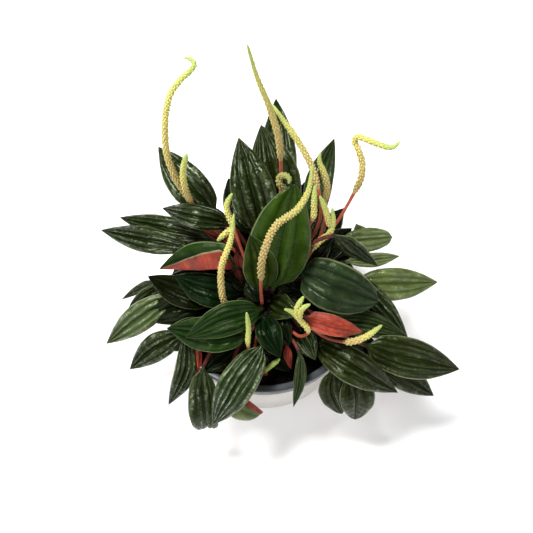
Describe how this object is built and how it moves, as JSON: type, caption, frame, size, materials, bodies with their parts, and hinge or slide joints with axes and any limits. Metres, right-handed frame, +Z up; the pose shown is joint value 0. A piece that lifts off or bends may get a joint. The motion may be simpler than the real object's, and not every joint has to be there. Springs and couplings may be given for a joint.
{
  "type": "potted peperomia",
  "caption": "Flowering peperomia with ribbed pointed dark green leaves and slender spikes of flowers, growing in a grey nursery pot that stands in a plain off-white cover pot.",
  "frame": {"origin": "centre of the underside of the cover pot, where it stands on a table", "axes": "+Z up, along the axis of the pots; -Y towards the plant's front; +X to the right in the front view"},
  "size_m": [0.2247, 0.1968, 0.212],
  "materials": {
    "cover_pot": "off-white, faintly glossy moulded plastic",
    "grow_pot": "mid grey, semi-gloss moulded plastic",
    "soil": "dark brown, matt, crumbly peat-based potting soil",
    "crown": "reddish brown, scaly, satin stem",
    "leaf": "dark green, deeply ribbed, glossy fleshy leaf with a pale margin, brick red stalk and underside",
    "young_leaf": "bright green, smoother, glossy young leaf with a pale margin and red stalk",
    "flower": "yellow-green, finely beaded flower spike on a smooth red stalk"
  },
  "bodies": {
    "root": {"cover_pot": "cover_pot", "grow_pot": "grow_pot", "soil": "soil", "crown": "crown", "leaf_front_left_upper": "young_leaf", "leaf_front_left_lower": "young_leaf", "leaf_young_upright": "young_leaf", "leaf_young_broad": "young_leaf", "leaf_front_small": "leaf", "leaf_front_over_rim": "leaf", "leaf_front_right_inner": "leaf", "leaf_right_facing": "leaf", "leaf_right_turned": "leaf", "leaf_left_folded": "leaf", "leaf_left_inner": "leaf", "leaf_left_olive": "leaf", "leaf_front_red": "leaf", "leaf_front_narrow": "leaf", "leaf_front_dark": "leaf", "leaf_front_right_long": "leaf", "leaf_right_low_long": "leaf", "leaf_right_glossy": "leaf", "leaf_right_dark": "leaf", "leaf_right_outer": "leaf", "leaf_right_under": "leaf", "leaf_front_right_round": "leaf", "leaf_front_right_edge": "leaf", "leaf_front_curled": "leaf", "leaf_front_left_blunt": "leaf", "leaf_left_hanging": "leaf", "leaf_left_glossy": "leaf", "leaf_left_low": "leaf", "leaf_left_tip": "leaf", "leaf_back_left_upper": "leaf", "leaf_left_long": "leaf", "leaf_left_long_behind": "leaf", "leaf_back_left_tall": "leaf", "leaf_back_right_narrow": "leaf", "leaf_back_right_low": "leaf", "leaf_back_right_pale": "leaf", "leaf_back_right_tip": "leaf", "leaf_back_centre": "leaf", "leaf_back_right_tall": "leaf", "leaf_back_tall": "leaf", "leaf_back_top": "leaf", "flower_centre": "flower", "flower_front_short": "flower", "flower_left": "flower", "flower_right_cluster": "flower", "flower_right_low": "flower", "flower_front_bud": "flower", "flower_back_left_inner": "flower", "flower_back_left_tall": "flower", "flower_right_tall": "flower", "flower_back_fork": "flower", "flower_back_slim": "flower", "flower_back_right": "flower", "flower_back_arched": "flower", "flower_back_tall": "flower", "flower_back_knot": "flower"}
  },
  "joints": []
}
